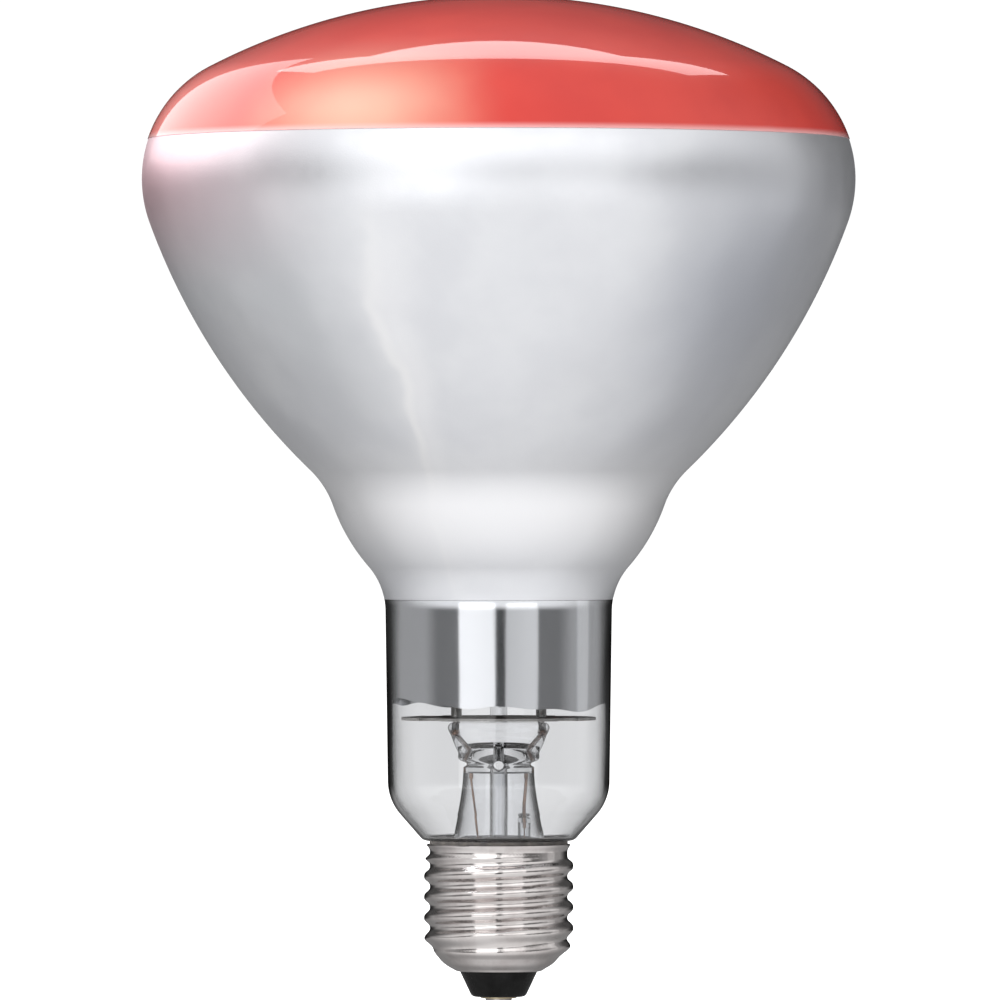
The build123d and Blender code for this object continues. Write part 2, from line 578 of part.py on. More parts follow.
def filament_support(angle):
    """Thin wire from the glass button out to a loop that the filament passes through."""
    level = FILAMENT_HEIGHT - BUTTON_DROP
    loop_low = FILAMENT_HEIGHT - SUPPORT_LOOP_RADIUS
    start = BUTTON_DIAMETER / 2 - SUPPORT_EMBED
    points = [(start, 0, level), (BUTTON_DIAMETER / 2 + SUPPORT_REACH, 0, level),
              (FILAMENT_RING_RADIUS, 0, loop_low - 1.6), (FILAMENT_RING_RADIUS, 0, loop_low)]
    arm = wire(points, SUPPORT_WIRE_DIAMETER, [1.2, 1.0])
    loop = Pos(FILAMENT_RING_RADIUS, 0, FILAMENT_HEIGHT) * Rot(90, 0, 0) * Torus(
        SUPPORT_LOOP_RADIUS, SUPPORT_WIRE_DIAMETER / 2)
    return Rot(0, 0, angle) * (arm + loop)


def support_rod(supports):
    """Glass rod on the press, ending in the button that the supports are set in."""
    level = FILAMENT_HEIGHT - BUTTON_DROP
    stalk = ring(ROD_DIAMETER, 0, PRESS_TOP, level)
    button = Pos(0, 0, level) * scale(Sphere(1), (BUTTON_DIAMETER / 2, BUTTON_DIAMETER / 2, BUTTON_HEIGHT / 2))
    return stalk + button - supports


def coil_span(start, end):
    """One straight run of the coil between two points, with a whole number of turns, ending at its top."""
    axis = end - start
    length = axis.length - 2 * COIL_END_GAP
    turns = round(length / COIL_PITCH)
    first = start + axis.normalized() * COIL_END_GAP
    place = Plane(first, x_dir=(0, 0, 1), z_dir=axis)
    path = Helix(length / turns, length, COIL_DIAMETER / 2)
    section = Plane(path @ 0, z_dir=path % 0) * Circle(COIL_WIRE_DIAMETER / 2)
    coil = Solid.sweep(section.face(), path=path, is_frenet=True)
    lift = Vector(0, 0, COIL_DIAMETER / 2)
    return place * coil, first + lift, first + axis.normalized() * length + lift


def filament(leads):
    """Coiled tungsten wire in straight spans round the ring, joined by short plain stretches at the supports.

    Its ends stop at the sides of the leads that they are clamped to.
    """
    points = [ring_point(angle) for angle in ring_angles()]
    pieces, ends = [], []
    for start, end in zip(points, points[1:]):
        coil, first, last = coil_span(start, end)
        pieces.append(coil)
        ends.append((first, last))
    lift = Vector(0, 0, COIL_DIAMETER / 2)
    joints = [points[0] + lift] + [p for pair in ends for p in pair] + [points[-1] + lift]
    for start, end in zip(joints[0::2], joints[1::2]):
        pieces.append(rod(start, end, COIL_WIRE_DIAMETER))
        pieces += [Pos(joint) * Sphere(COIL_WIRE_DIAMETER / 2) for joint in (start, end)]
    return Part() + pieces - leads


def filament_clamp(side, lead, coil):
    """Folded nickel tab that pinches the end of the filament against the lead."""
    tip = lead_tip(side)
    block = Box(CLAMP_WIDTH, CLAMP_THICKNESS, CLAMP_HEIGHT)
    block = fillet(block.edges(), CLAMP_EDGE_RADIUS)
    turn = -FILAMENT_END_ANGLE if side > 0 else 180 + FILAMENT_END_ANGLE
    place = Pos(tip[0], tip[1], FILAMENT_HEIGHT) * Rot(0, 0, turn)
    return place * block - lead - coil


def build():
    glass = bulb_body(0)
    outside, inside = cap_core(0), cap_core(SHELL_SHEET)
    rim_lead = outer_lead_neutral()
    rim_groove = outer_lead_neutral(RIM_LEAD_DIAMETER + 2 * WIRE_CLEARANCE)
    live_lead = outer_lead_live_lower()
    cement = capping_cement(inside, glass, rim_groove)
    seals = {"live": seal_wire(1), "neutral": seal_wire(-1)}
    inner = {"live": inner_lead(1, seals["live"]), "neutral": inner_lead(-1, seals["neutral"])}
    supports = [filament_support(angle) for angle in ring_angles()[1:-1]]
    coil = filament([*inner.values()])
    parts = {
        "bulb_envelope": bulb_envelope(),
        "mirror_coating": mirror_coating(),
        "red_coating": red_coating(),
        "screw_shell": screw_shell(outside, inside),
        "cap_insulator": cap_insulator(inside),
        "centre_contact": centre_contact(),
        "contact_solder": contact_solder(live_lead),
        "capping_cement": cement,
        "side_solder": side_solder(outside, glass, cement, rim_lead),
        "stem_flare": stem_flare([*seals.values(), *inner.values()]),
        "exhaust_tube": exhaust_tube(),
        "outer_lead_neutral": rim_lead,
        "outer_lead_live_upper": outer_lead_live_upper(),
        "outer_lead_live_lower": live_lead,
        "fuse_wire": fuse_wire(),
        "fuse_sleeve": fuse_sleeve(),
        "heat_shield_disc": heat_shield_disc(),
        "support_rod": support_rod(supports),
        "filament": coil,
    }
    for name, side in (("live", 1), ("neutral", -1)):
        parts[f"seal_wire_{name}"] = seals[name]
        parts[f"inner_lead_{name}"] = inner[name]
        parts[f"shield_ferrule_{name}"] = shield_ferrule(side)
        parts[f"filament_clamp_{name}"] = filament_clamp(side, inner[name], coil)
    for number, one in enumerate(supports, 1):
        parts[f"filament_support_{number}"] = one
    return parts


if __name__ == "__main__":
    os.makedirs("parts", exist_ok=True)
    for name, shape in build().items():
        export_step(shape, f"parts/{name}.step")
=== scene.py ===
"""Looks of an infrared reflector heat lamp: red front, satin mirrored bowl, clear neck, nickel screw cap.

Metres throughout. +Z runs from the cap to the front, and the origin is the tip of the cap's centre
contact. The camera is on the -Y side. Slopes are in degrees from vertical. Angles around the lamp are in
radians from the camera's side, positive to the right. Scales of noise are per metre.
"""
import json
import math

import bpy
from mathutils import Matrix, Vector


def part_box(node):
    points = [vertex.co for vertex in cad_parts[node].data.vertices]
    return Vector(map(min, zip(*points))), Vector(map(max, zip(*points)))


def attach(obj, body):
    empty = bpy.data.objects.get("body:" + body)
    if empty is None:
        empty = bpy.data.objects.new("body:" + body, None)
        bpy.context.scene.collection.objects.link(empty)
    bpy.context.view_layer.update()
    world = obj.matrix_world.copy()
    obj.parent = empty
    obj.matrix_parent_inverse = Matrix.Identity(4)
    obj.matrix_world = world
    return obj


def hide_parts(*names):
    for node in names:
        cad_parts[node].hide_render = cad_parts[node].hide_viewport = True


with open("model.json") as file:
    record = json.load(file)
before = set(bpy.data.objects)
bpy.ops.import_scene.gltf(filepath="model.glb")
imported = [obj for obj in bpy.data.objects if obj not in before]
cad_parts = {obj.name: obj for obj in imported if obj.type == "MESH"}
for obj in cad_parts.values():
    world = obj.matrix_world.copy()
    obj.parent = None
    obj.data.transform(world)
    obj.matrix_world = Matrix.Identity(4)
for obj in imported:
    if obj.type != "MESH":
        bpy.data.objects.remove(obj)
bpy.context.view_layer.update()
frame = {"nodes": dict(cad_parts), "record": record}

MM = 0.001

# ---- bulb, with the sizes of the model in the frame ---------------------------------------------------
GLASS_LOW, GLASS_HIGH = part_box("bulb_envelope")
BULB_RADIUS = GLASS_HIGH.x
CROWN = GLASS_HIGH.z
TAIL_END = GLASS_LOW.z
RED_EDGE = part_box("red_coating")[0].z
MIRROR_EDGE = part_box("mirror_coating")[0].z
SHELL_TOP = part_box("screw_shell")[1].z
DOME_RADIUS = 110.0 * MM
SHOULDER_RADIUS = 22.0 * MM
UNDER_SHOULDER_RADIUS = 22.5 * MM
UNDER_SHOULDER_SLOPE = 20.0
REFLECTOR_SLOPE = 46.0
KNEE_RADIUS = 33.0 * MM
KNEE_BEND_RADIUS = 16.0 * MM
BULGE_SLOPE_TOP = 19.5
BULGE_SLOPE_LOW = 41.0
NECK_BEND_RADIUS = 12.0 * MM
NECK_RADIUS = 19.85 * MM
NECK_SLOPE = 0.8
NECK_SHOULDER_RADIUS = 9.0 * MM
CONE_SLOPE = 41.0
SEAT_RADIUS = 13.7 * MM
SEAT_GAP = 1.2 * MM
SEAT_BEND_RADIUS = 1.6 * MM
SEAT_SLOPE = 85.0
TAIL_RADIUS = 11.2 * MM
TAIL_BEND_RADIUS = 0.8 * MM
WALL = 0.9 * MM
RED_LACQUER = 0.12 * MM
FROST_EDGE = 71.0 * MM         # the etched bowl ends here and the plain neck begins
FILM = 0.08 * MM
FILM_GAP = 0.02 * MM

# ---- uneven lower edge of the mirror ------------------------------------------------------------------
FILM_RUN = 0.7 * MM
FILM_RUN_REACH = 6 * FILM_RUN
FILM_WAVES = ((2, 1.0, 0.6), (5, 0.5, 2.1), (11, 0.3, 0.0))     # how many around the lamp, share, phase

# ---- meshes -------------------------------------------------------------------------------------------
SEGMENTS = 288
ARC_STEP = 0.9                 # degrees
LEAST_ARC_STEPS = 4
SHARP_ANGLE = 40               # degrees
ON_AXIS = 1e-7

# ---- painted light and shade: a colour, its strength, and its place as the sockets of the patch group ---
ALL_AROUND = 50.0              # a spread so wide that the patch is a ring
HIGHLIGHT_STREAK_ANGLE = -0.40              # where the painted highlight streak on the bowl comes down
BOWL_PAINTED_LIGHT = (
    # Painted shade: grey on both flanks of the reflector.
    ((0.60, 0.62, 0.65), 0.45, dict(
        Angle=-0.72, Spread=0.40, Height=121 * MM, Reach=30 * MM, Wander=0.5)),
    ((0.50, 0.52, 0.58), 0.75, dict(
        Angle=0.88, Spread=0.60, Height=124 * MM, Reach=34 * MM, Wander=0.3)),
    # Painted reflection of the red front: pink under its edge, on the left.
    ((0.97, 0.55, 0.62), 0.70, dict(Angle=-1.4, Spread=1.0, Height=RED_EDGE - 5 * MM, Reach=24 * MM)),
    # A painted highlight: a bright streak down the bowl, and its soft border.
    ((1.00, 1.00, 1.00), 0.75, dict(
        Angle=HIGHLIGHT_STREAK_ANGLE, Spread=0.045, Height=107 * MM, Reach=40 * MM, Wander=0.35)),
    ((0.98, 0.98, 1.00), 0.60, dict(
        Angle=HIGHLIGHT_STREAK_ANGLE + 0.04, Spread=0.15, Height=110 * MM, Reach=48 * MM, Wander=0.35)),
    # Painted highlight on the bulge above the neck.
    ((0.98, 0.98, 1.00), 0.90, dict(Angle=0.0, Spread=ALL_AROUND, Height=86.5 * MM, Reach=14 * MM)),
)
RED_PAINTED_LIGHT = (
    # Painted light: paler red on the left, where the light falls.
    ((0.78, 0.20, 0.17), 0.85, dict(Angle=-1.5, Spread=1.4, Height=156 * MM, Reach=18.5 * MM)),
    # Painted glow of the reflector, low on the left.
    ((0.86, 0.50, 0.36), 0.80, dict(
        Angle=-0.42, Spread=0.46, Height=155 * MM, Reach=14 * MM, Wander=0.2)),
    # Painted highlight: a pale pink band along its lower edge.
    ((0.90, 0.55, 0.55), 0.80, dict(
        Angle=0.0, Spread=ALL_AROUND, Height=RED_EDGE - 0.3 * MM, Reach=1.5 * MM)),
)

# ---- finishes by material slot: the arguments of worn_metal -------------------------------------------
GLASS_IOR = 1.48
WORN = {
    "nickel_shell": dict(
        colour=(0.70, 0.665, 0.655), stain=(0.58, 0.54, 0.53), roughness=(0.10, 0.19),
        patches=220.0, grain=1800.0, relief=0.010 * MM),
    "black_glass": dict(
        colour=(0.004, 0.004, 0.004), stain=(0.008, 0.008, 0.008), roughness=(0.10, 0.22),
        patches=300.0, grain=900.0, relief=0.03 * MM, Metallic=0.0, Specular_IOR_Level=0.08),
    "contact_brass": dict(
        colour=(0.62, 0.52, 0.33), stain=(0.40, 0.32, 0.20), roughness=(0.28, 0.45),
        patches=500.0, grain=2500.0, relief=0.02 * MM),
    "solder": dict(
        colour=(0.55, 0.55, 0.56), stain=(0.36, 0.36, 0.37), roughness=(0.35, 0.55),
        patches=700.0, grain=1200.0, relief=0.08 * MM),
    # The cement is real, but its near-black colour stands in for the shadow gap under the glass at the
    # shell's rim: partly painted shade.
    "cement": dict(
        colour=(0.055, 0.05, 0.048), stain=(0.11, 0.10, 0.09), roughness=(0.75, 0.95),
        patches=600.0, grain=2600.0, relief=0.15 * MM, Metallic=0.0),
    "mica": dict(
        colour=(0.33, 0.32, 0.31), stain=(0.22, 0.21, 0.20), roughness=(0.3, 0.5),
        patches=260.0, grain=1500.0, relief=0.03 * MM, Metallic=0.3),
    "nickel_wire": dict(
        colour=(0.42, 0.41, 0.40), stain=(0.26, 0.25, 0.24), roughness=(0.25, 0.42),
        patches=500.0, grain=3000.0, relief=0.01 * MM),
    "copper_wire": dict(
        colour=(0.36, 0.22, 0.15), stain=(0.16, 0.10, 0.08), roughness=(0.3, 0.5),
        patches=420.0, grain=3000.0, relief=0.01 * MM),
    "tungsten": dict(
        colour=(0.16, 0.16, 0.17), stain=(0.09, 0.09, 0.10), roughness=(0.4, 0.6),
        patches=700.0, grain=3000.0, relief=0.005 * MM),
}

# ---- camera and lights --------------------------------------------------------------------------------
VIEW_DISTANCE = 1.9
VIEW_HEIGHT = 88.4 * MM
VIEW_SIDE = 0.23 * MM
VIEW_WIDTH = 175.2 * MM        # seen at the lamp's axis
LIGHT_DISTANCE = 1.1
AIM = Vector((0, 0, 0.09))
SOFTBOXES = {                  # azimuth and elevation in degrees, width and height, watts
    "front_left": (-23, 10, (0.76, 1.1), 2.7),
    "front_right": (24, 10, (0.74, 1.1), 1.45),
    "right_strip": (99, 5, (0.34, 1.0), 0.22),
    "back_top": (178, 57, (1.0, 0.25), 2.4),
    "left_side": (-125, 28, (1.2, 0.8), 5.0),
    "left_wash": (-75, 55, (0.4, 0.4), 8.0),
}
LIT_BY_LEFT_SIDE = ("red_front", "satin_bowl")
FLOOR_RADIUS = 8.0
FLOOR_SIDES = 120
FLOOR_COLOUR = 0.85
FLOOR_GLOW = 0.88
BACKDROP = 1.06                # brightness of the surroundings as the camera sees them
FILL = 0.6                     # and as they light the lamp

# ---- room seen in metal and through glass -------------------------------------------------------------
# Each is a range of one axis of the ray's direction, and the brightness or share at its two ends.
BELOW_BY_Y = (1.0, -0.65, 0.24, 0.96)
ABOVE_BY_Y = (0.80, -0.35, 0.08, 1.0)
LEVEL_BY_X = (0.05, 0.85, 0.05, 0.36)
LEVEL_TO_CAMERA = (-0.45, -0.05, 0.45, 1.0)
LEVEL_TO_BACK = (0.5, 0.9, 1.0, 0.12)
BELOW_TO_LEVEL = (-0.22, -0.05, 0.0, 1.0)
LEVEL_TO_ABOVE = (0.05, 0.32, 0.0, 1.0)
THROUGH_GLASS_BY_X = (0.01, 0.40, 0.80, 0.56)


def cosine(degrees):
    return math.cos(math.radians(degrees))


def sine(degrees):
    return math.sin(math.radians(degrees))


def placed(name, data):
    """A new object, in the scene."""
    item = bpy.data.objects.new(name, data)
    bpy.context.scene.collection.objects.link(item)
    return item


# ---- shapes -------------------------------------------------------------------------------------------
class Pen:
    """Draws half a section, from the crown down, as arcs and lines. Its slope is positive inward."""

    def __init__(self, radius, height, slope):
        self.radius, self.height, self.slope = radius, height, slope
        self.points = [(radius, height)]

    def line(self, length):
        self.radius -= length * sine(self.slope)
        self.height -= length * cosine(self.slope)
        self.points.append((self.radius, self.height))

    def bend(self, size, slope):
        """Turns to the new slope on an arc: bulging where the slope grows, hollow where it falls."""
        size = size if slope > self.slope else -size
        centre = (self.radius - size * cosine(self.slope), self.height + size * sine(self.slope))
        steps = max(LEAST_ARC_STEPS, math.ceil(abs(slope - self.slope) / ARC_STEP))
        for step in range(1, steps + 1):
            at = self.slope + (slope - self.slope) * step / steps
            self.radius = centre[0] + size * cosine(at)
            self.height = centre[1] - size * sine(at)
            self.points.append((self.radius, self.height))
        self.slope = slope


def bulb_outline(inset):
    """Half the bulb's section from the crown to the end of the tail, moved inward by inset."""
    shoulder = (BULB_RADIUS - SHOULDER_RADIUS) / (DOME_RADIUS - SHOULDER_RADIUS)
    start, end = cosine(UNDER_SHOULDER_SLOPE), cosine(REFLECTOR_SLOPE)
    top, low, neck = cosine(BULGE_SLOPE_TOP), cosine(BULGE_SLOPE_LOW), cosine(NECK_SLOPE)
    reflector = (BULB_RADIUS - UNDER_SHOULDER_RADIUS * (1 - start) - KNEE_RADIUS) / (start - end)
    bends = KNEE_BEND_RADIUS * (top - end) + NECK_BEND_RADIUS * (neck - low)
    bulge = (KNEE_RADIUS - NECK_RADIUS - bends) / (top - low)
    pen = Pen(0, CROWN - inset, -90)
    pen.bend(DOME_RADIUS - inset, -math.degrees(math.acos(shoulder)))
    pen.bend(SHOULDER_RADIUS - inset, 0)
    pen.bend(UNDER_SHOULDER_RADIUS - inset, UNDER_SHOULDER_SLOPE)
    pen.bend(reflector - inset, REFLECTOR_SLOPE)
    pen.bend(KNEE_BEND_RADIUS + inset, BULGE_SLOPE_TOP)
    pen.bend(bulge - inset, BULGE_SLOPE_LOW)
    pen.bend(NECK_BEND_RADIUS + inset, NECK_SLOPE)
    # The neck's line and the cone's line together reach the seat above the cap.
    along, across = cosine(CONE_SLOPE), sine(CONE_SLOPE)
    bent = NECK_SHOULDER_RADIUS - inset
    inward = pen.radius - SEAT_RADIUS + inset * along - bent * (neck - along)
    down = pen.height - SHELL_TOP - SEAT_GAP - inset * across - bent * (across - sine(NECK_SLOPE))
    crossing = sine(CONE_SLOPE - NECK_SLOPE)
    pen.line((down * across - inward * along) / crossing)
    pen.bend(bent, CONE_SLOPE)
    pen.line((inward * neck - down * sine(NECK_SLOPE)) / crossing)
    pen.bend(SEAT_BEND_RADIUS - inset, SEAT_SLOPE)
    tail_bend = TAIL_BEND_RADIUS + inset
    seat = pen.radius - TAIL_RADIUS + inset - tail_bend * (1 - cosine(SEAT_SLOPE))
    pen.line(seat / sine(SEAT_SLOPE))
    pen.bend(tail_bend, 0)
    pen.line(pen.height - TAIL_END)
    return pen.points


def stretch(points, high, low):
    """The part of an outline between two heights, with its ends exactly there."""
    kept = []
    for (r1, z1), (r2, z2) in zip(points, points[1:]):
        for height in (high, low):
            if z1 > height > z2:
                share = (z1 - height) / (z1 - z2)
                kept.append((r1 + (r2 - r1) * share, height))
        if low <= z2 <= high:
            kept.append((r2, z2))
    if points[0][1] <= high:
        kept.insert(0, points[0])
    return sorted(kept, key=lambda point: -point[1])


def turned(name, outside, inside, wave=None):
    """A wall of revolution between two half sections. wave gives each point's shift in height."""
    vertices, faces, rows = [], [], []
    for radius, height in outside + inside[::-1]:
        if radius < ON_AXIS:
            rows.append([len(vertices)] * SEGMENTS)
            vertices.append((0, 0, height))
            continue
        rows.append(range(len(vertices), len(vertices) + SEGMENTS))
        for step in range(SEGMENTS):
            angle = 2 * math.pi * step / SEGMENTS
            shift = wave(angle, height) if wave else 0
            vertices.append((radius * math.cos(angle), radius * math.sin(angle), height + shift))
    for upper, lower in zip(rows, rows[1:] + rows[:1]):
        for step in range(SEGMENTS):
            following = (step + 1) % SEGMENTS
            corners = dict.fromkeys((upper[step], lower[step], lower[following], upper[following]))
            if len(corners) > 2:
                faces.append(tuple(corners))
    mesh = bpy.data.meshes.new(name)
    mesh.from_pydata(vertices, [], faces)
    mesh.validate()
    mesh.shade_smooth()
    mesh.set_sharp_from_angle(angle=math.radians(SHARP_ANGLE))
    return placed(name, mesh)


def run_edge(angle, height):
    """Shift of the mirror's uneven lower edge, dying out above it."""
    near = max(0.0, 1 - (height - MIRROR_EDGE) / FILM_RUN_REACH)
    swing = sum(share * math.sin(count * angle + phase) for count, share, phase in FILM_WAVES)
    return FILM_RUN * swing * near


# ---- shader nodes -------------------------------------------------------------------------------------
def feed(tree, value, socket):
    """Sets a socket: a number or a colour as its own value, another socket as a link."""
    if isinstance(value, (int, float)):
        socket.default_value = value
    elif isinstance(value, tuple):
        socket.default_value = (*value, 1)
    else:
        tree.links.new(value, socket)


def feed_all(tree, node, values):
    """Sets a node's sockets by name, with spaces written as underscores."""
    for label, value in values.items():
        feed(tree, value, node.inputs[label.replace("_", " ")])


def worked(tree, operation, *values):
    """One Math node."""
    node = tree.nodes.new("ShaderNodeMath")
    node.operation = operation
    for value, socket in zip(values, node.inputs):
        feed(tree, value, socket)
    return node.outputs["Value"]


def mapped(tree, value, low, high, out_low, out_high, kind="SMOOTHSTEP"):
    """value run from one range to another, and held at its ends."""
    node = tree.nodes.new("ShaderNodeMapRange")
    node.interpolation_type = kind
    feed_all(tree, node, dict(Value=value, From_Min=low, From_Max=high, To_Min=out_low, To_Max=out_high))
    return node.outputs["Result"]


def between(tree, share, low, high):
    """share, from 0 to 1, run evenly between two values."""
    return mapped(tree, share, 0.0, 1.0, low, high, "LINEAR")


def crossed(tree, share, first, second, kind="VALUE"):
    """first where share is 0 and second where it is 1: two values, or two colours with kind RGBA."""
    node = tree.nodes.new("ShaderNodeMix")
    node.data_type = "RGBA" if kind == "RGBA" else "FLOAT"
    feed(tree, share, node.inputs["Factor"])
    for label, value in (("A", first), ("B", second)):
        feed(tree, value, next(s for s in node.inputs if s.name == label and s.type == kind))
    return next(s for s in node.outputs if s.type == kind)


def noise(tree, scale, detail, vector=None):
    node = tree.nodes.new("ShaderNodeTexNoise")
    if vector is None:
        vector = tree.nodes.new("ShaderNodeTexCoord").outputs["Object"]
    feed_all(tree, node, dict(Scale=scale, Detail=detail, Vector=vector))
    return node.outputs["Fac"]


def direction(tree, kind):
    """The X, Y and Z sockets of a texture coordinate."""
    node = tree.nodes.new("ShaderNodeSeparateXYZ")
    tree.links.new(tree.nodes.new("ShaderNodeTexCoord").outputs[kind], node.inputs["Vector"])
    return node.outputs["X"], node.outputs["Y"], node.outputs["Z"]


def bounced(tree, *kinds):
    """1 for a ray that has already made a bounce of one of these kinds, else 0."""
    path = tree.nodes.new("ShaderNodeLightPath")
    depths = [path.outputs[kind + " Depth"] for kind in kinds]
    depth = depths[0] if len(depths) == 1 else worked(tree, "ADD", *depths)
    return worked(tree, "GREATER_THAN", depth, 0.5)


def clear_where(tree, share):
    """Makes a material's surface transparent where share is 1."""
    mix = tree.nodes.new("ShaderNodeMixShader")
    tree.links.new(share, mix.inputs["Fac"])
    tree.links.new(tree.nodes["Principled BSDF"].outputs["BSDF"], mix.inputs[1])
    tree.links.new(tree.nodes.new("ShaderNodeBsdfTransparent").outputs["BSDF"], mix.inputs[2])
    tree.links.new(mix.outputs["Shader"], tree.nodes["Material Output"].inputs["Surface"])


# ---- shader groups ------------------------------------------------------------------------------------
def new_group(name, inputs, outputs):
    """An empty shader group with its sockets: inputs with first values, outputs with kinds."""
    group = bpy.data.node_groups.new(name, "ShaderNodeTree")
    for label, value in inputs.items():
        kind = "NodeSocketColor" if isinstance(value, tuple) else "NodeSocketFloat"
        socket = group.interface.new_socket(label, in_out="INPUT", socket_type=kind)
        feed(group, value, socket)
    for label, kind in outputs.items():
        group.interface.new_socket(label, in_out="OUTPUT", socket_type="NodeSocket" + kind)
    return group, group.nodes.new("NodeGroupInput"), group.nodes.new("NodeGroupOutput")


def patch_group():
    """Mask of a soft-edged patch: Angle and Height are its middle, Spread and Reach half its size.
    Wander makes its sides uneven."""
    group, source, result = new_group(
        "patch", {"Angle": 0.0, "Spread": 0.3, "Height": 0.1, "Reach": 0.02, "Wander": 0.0},
        {"Mask": "Float"})
    x, y, z = direction(group, "Object")
    turn = worked(group, "ARCTAN2", x, worked(group, "MULTIPLY", y, -1.0))
    wobble = worked(group, "SUBTRACT", noise(group, scale=42.0, detail=3), 0.5)
    turn = worked(group, "ADD", turn, worked(group, "MULTIPLY", wobble, source.outputs["Wander"]))
    shares = []
    for value, centre, half in ((turn, "Angle", "Spread"), (z, "Height", "Reach")):
        away = worked(group, "ABSOLUTE", worked(group, "SUBTRACT", value, source.outputs[centre]))
        away = worked(group, "DIVIDE", away, source.outputs[half])
        shares.append(mapped(group, away, 1.0, 0.0, 0.0, 1.0))
    group.links.new(worked(group, "MULTIPLY", *shares), result.inputs["Mask"])
    return group


def blown_glass_group():
    """Slow unevenness of blown glass, stretched along the lamp as the neck was drawn."""
    group, source, result = new_group("blown_glass", {"Scale": 40.0, "Stretch": 0.4}, {"Height": "Float"})
    factors = group.nodes.new("ShaderNodeCombineXYZ")
    feed_all(group, factors, dict(X=1.0, Y=1.0, Z=source.outputs["Stretch"]))
    drawn = group.nodes.new("ShaderNodeVectorMath")
    drawn.operation = "MULTIPLY"
    group.links.new(group.nodes.new("ShaderNodeTexCoord").outputs["Object"], drawn.inputs[0])
    group.links.new(factors.outputs["Vector"], drawn.inputs[1])
    height = noise(group, source.outputs["Scale"], 1.5, drawn.outputs["Vector"])
    group.links.new(height, result.inputs["Height"])
    return group


def patina_group():
    """A finish that drifts between two colours and two roughnesses, with a fine uneven surface."""
    group, source, result = new_group(
        "patina",
        {"Colour": (0.6, 0.6, 0.6), "Stain": (0.4, 0.4, 0.4), "Patch Scale": 150.0, "Grain Scale": 2500.0,
         "Roughness Low": 0.2, "Roughness High": 0.4},
        {"Colour": "Color", "Roughness": "Float", "Height": "Float"})
    value = source.outputs
    share = mapped(group, noise(group, value["Patch Scale"], 4), 0.4, 0.66, 0.0, 1.0, "LINEAR")
    feed_all(group, result, dict(
        Colour=crossed(group, share, value["Colour"], value["Stain"], "RGBA"),
        Roughness=between(group, share, value["Roughness Low"], value["Roughness High"]),
        Height=noise(group, value["Grain Scale"], 3)))
    return group


BLOWN_GLASS = blown_glass_group()
PATINA = patina_group()
PATCH = patch_group()


# ---- materials ----------------------------------------------------------------------------------------
def new_finish(name, **values):
    """A material with one Principled node, and that node."""
    finish = bpy.data.materials.new(name)
    finish.use_nodes = True
    shader = finish.node_tree.nodes["Principled BSDF"]
    feed_all(finish.node_tree, shader, values)
    return finish, shader


def add_group(tree, group, **values):
    node = tree.nodes.new("ShaderNodeGroup")
    node.node_tree = group
    feed_all(tree, node, values)
    return node


def add_relief(tree, shader, height, depth):
    """Drives the surface's normal from a height, with the relief's depth in metres."""
    bump = tree.nodes.new("ShaderNodeBump")
    feed_all(tree, bump, dict(Strength=1.0, Distance=depth, Height=height))
    tree.links.new(bump.outputs["Normal"], shader.inputs["Normal"])


def add_waves(tree, shader, depth, scale, drawn, grain=None):
    """Relief of blown glass. grain is the scale of a finer noise and its share of the depth."""
    height = add_group(tree, BLOWN_GLASS, Scale=scale, Stretch=drawn).outputs["Height"]
    if grain:
        fine = worked(tree, "MULTIPLY", noise(tree, grain[0], detail=2), grain[1])
        height = worked(tree, "ADD", height, fine)
    add_relief(tree, shader, height, depth)


def clouded(tree, scale, first, second):
    """A colour that drifts between two."""
    cloud = mapped(tree, noise(tree, scale, detail=3), 0.35, 0.65, 0.0, 1.0)
    return crossed(tree, cloud, first, second, "RGBA")


def with_painted_light(tree, colour, painted_patches):
    """A colour with patches of painted light and shade over it."""
    for tint, amount, place in painted_patches:
        mask = add_group(tree, PATCH, **place).outputs["Mask"]
        colour = crossed(tree, between(tree, mask, 0.0, amount), colour, tint, "RGBA")
    return colour


def satin_mirror():
    """Etched and aluminised glass seen from outside: a satin metal, with painted shade, a painted
    reflection and painted highlights over its colour.
    """
    finish, shader = new_finish(
        "satin_mirror", Metallic=1.0, Coat_Weight=0.22, Coat_Roughness=0.12, Coat_IOR=1.45)
    tree = finish.node_tree
    colour = clouded(tree, 55.0, (0.85, 0.86, 0.89), (0.80, 0.81, 0.845))
    tree.links.new(with_painted_light(tree, colour, BOWL_PAINTED_LIGHT), shader.inputs["Base Color"])
    add_waves(tree, shader, 1.2 * MM, scale=38.0, drawn=0.55, grain=(3500.0, 0.012))
    rough = between(tree, noise(tree, scale=900.0, detail=4), 0.36, 0.46)
    tree.links.new(rough, shader.inputs["Roughness"])
    return finish


def polished_mirror():
    """Aluminium film on plain glass."""
    finish, shader = new_finish(
        "polished_mirror", Base_Color=(0.82, 0.83, 0.85), Metallic=1.0, Roughness=0.11)
    add_waves(finish.node_tree, shader, 0.3 * MM, scale=60.0, drawn=0.25)
    return finish


def clear_glass(name, tint, wave_depth):
    """Glass that light from the lamps passes straight through, so that what it holds is lit."""
    finish, shader = new_finish(
        name, Base_Color=tint, Roughness=0.0, IOR=GLASS_IOR, Transmission_Weight=1.0)
    tree = finish.node_tree
    add_waves(tree, shader, wave_depth, scale=70.0, drawn=0.4)
    clear_where(tree, tree.nodes.new("ShaderNodeLightPath").outputs["Is Shadow Ray"])
    return finish


